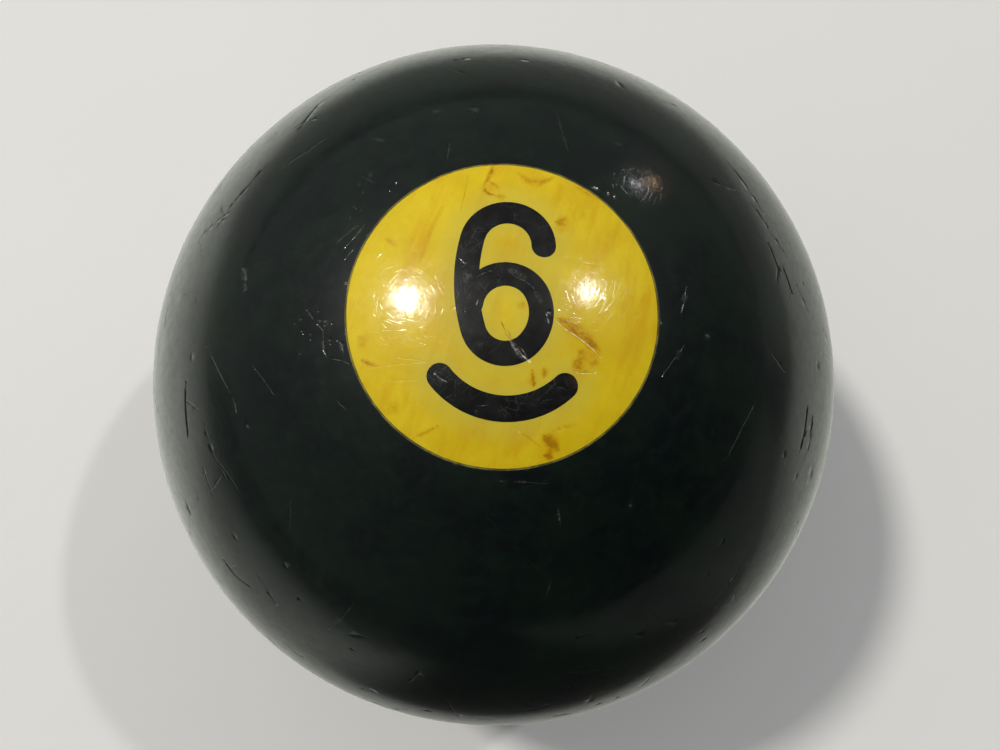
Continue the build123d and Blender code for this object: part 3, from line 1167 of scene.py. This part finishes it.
def painted_floor_reflection_material():
    """A painted reflection of the floor: a glowing sheet that only the ball's reflections see. It
    is pale close by, and dark further off and where the photographer stood, a painted shadow. All
    distances are in mm along the floor."""
    g = Graph("painted_floor_reflection")
    x, y, _ = g.node("ShaderNodeSeparateXYZ", Vector=g.place).outputs
    left = g.times(g.span(x, -40, -330, 1, 0), g.span(x, -245, -290, 1, 0))
    right = g.times(g.span(x, 20, 70, 0.80, 0.50), g.span(x, 125, 240, 1, 0))
    behind = g.span(y, 62, 120, 1, 0)
    before = g.times(g.span(y, -10, -50, 1.0, 0.45), g.span(y, -80, -200, 1, 0))
    # painted shadow in the mirrored floor, on the near side where the photographer stood
    painted_photographer_shadow = g.times(g.span(x, -18, -52, 1, 0), g.span(y, -46, -58, 0, 0.97))
    level = g.times(g.maths("SUBTRACT", 1.0, painted_photographer_shadow), left, right, behind, before)
    distant = g.times(g.span(y, -20, 90, 0.020, 0.150), g.span(y, 260, 480, 1.0, 0.3))
    front_right = g.times(g.span(x, 40, 110, 0.0, 0.11), g.span(y, -30, -70, 0.0, 1.0))
    level = g.maths("MAXIMUM", level, g.maths("MAXIMUM", distant, front_right))
    glow = g.node("ShaderNodeEmission", Color=(0.97, 1.0, 0.90), Strength=level)
    g.set(g.tree.nodes["Material Output"].inputs["Surface"], glow.outputs[0])
    g.tree.nodes.remove(g.shader)
    return g.material


# The sheet that glows with the painted floor reflection lies just above the floor and shows only in
# glossy rays.
card_corners = [(x, y, FLOOR_HEIGHT + CARD_GAP) for x, y in FLOOR_CORNERS]
card = flat_sheet("painted_floor_reflection", card_corners, painted_floor_reflection_material())
for hidden_from in ("camera", "diffuse", "shadow", "transmission"):
    setattr(card, f"visible_{hidden_from}", False)

LAMP_DISTANCE = 900.0


def lamp(name, azimuth, elevation, radius, power, colour):
    """A round soft lamp that faces the ball: angles in degrees, the azimuth from +X towards +Y,
    and the power in watts."""
    data = bpy.data.lights.new(name, "AREA")
    data.shape = "DISK"
    data.size = 2 * radius * MM
    data.energy = power
    data.color = colour
    light = placed(name, data)
    turn, rise = math.radians(azimuth), math.radians(elevation)
    way = Vector((math.cos(turn) * math.cos(rise), math.sin(turn) * math.cos(rise), math.sin(rise)))
    light.location = way * LAMP_DISTANCE * MM
    light.rotation_mode = "QUATERNION"
    light.rotation_quaternion = way.to_track_quat("Z", "Y")


lamp("main_lamp", 148.5, 59.1, 45.0, 4.45, (1.0, 0.96, 0.89))
lamp("second_lamp", 36.0, 57.3, 17.0, 1.45, (1.0, 0.97, 0.94))
lamp("far_window", 53.4, 17.9, 15.0, 0.09, (0.95, 0.97, 1.0))
lamp("far_bulb", 51.2, 13.6, 9.0, 0.045, (1.0, 0.62, 0.36))

# The room's light for each kind of ray: its colour, the side it comes from, and its strength on the
# far side and on that side. The camera sees a plain background.
ROOM_LEVELS = (
    ("Is Diffuse Ray", (0.94, 0.97, 1.0), (-0.62, 0.68, 0.40), -0.20, 0.61),
    ("Is Glossy Ray", (0.90, 1.00, 0.92), (-0.60, 0.74, -0.15), 0.00, 0.20),
    ("Is Camera Ray", (1.0, 1.0, 1.0), (0.0, 0.0, 1.0), 0.70, 0.70),
)


def room_light():
    """Soft light from all round, stronger from the back left, and dim where the ball mirrors it."""
    world = bpy.data.worlds.new("room")
    world.use_nodes = True
    g = Nodes(world.node_tree)
    where = g.node("ShaderNodeTexCoord").outputs["Generated"]
    rays = g.node("ShaderNodeLightPath").outputs
    light = None
    for ray, colour, bright_side, low, high in ROOM_LEVELS:
        slope = g.vector("DOT_PRODUCT", where, bright_side)
        level = g.node("ShaderNodeMapRange", Value=slope, From_Min=-1.0, To_Min=low, To_Max=high)
        glow = g.node("ShaderNodeBackground", Color=colour, Strength=level.outputs["Result"])
        if light is None:
            light = glow.outputs[0]
            continue
        choice = g.node("ShaderNodeMixShader", Fac=rays[ray])
        g.set(choice.inputs[1], light)
        g.set(choice.inputs[2], glow.outputs[0])
        light = choice.outputs[0]
    g.set(g.tree.nodes["World Output"].inputs["Surface"], light)
    return world


bpy.context.scene.world = room_light()

# The camera: where it stands, where it looks, and its lens, in the ball's own frame
CAMERA_PLACE = (-1.57, -13.66, 83.49)
CAMERA_FORWARD = (0.0246, 0.1705, -0.9851)
CAMERA_LENS = 34.18
camera_data = bpy.data.cameras.new("camera")
camera_data.sensor_width = 36.0
camera_data.lens = CAMERA_LENS
camera_data.clip_start = 0.01
camera = placed("camera", camera_data)
camera.location = Vector(CAMERA_PLACE) * MM
forward = Vector(CAMERA_FORWARD).normalized()
right = forward.cross(Vector((0, 1, 0))).normalized()
up = right.cross(forward)
axes = Matrix((right, up, -forward)).transposed()
camera.rotation_mode = "QUATERNION"
camera.rotation_quaternion = axes.to_quaternion()
bpy.context.scene.camera = camera
bpy.context.scene.view_settings.view_transform = "Standard"
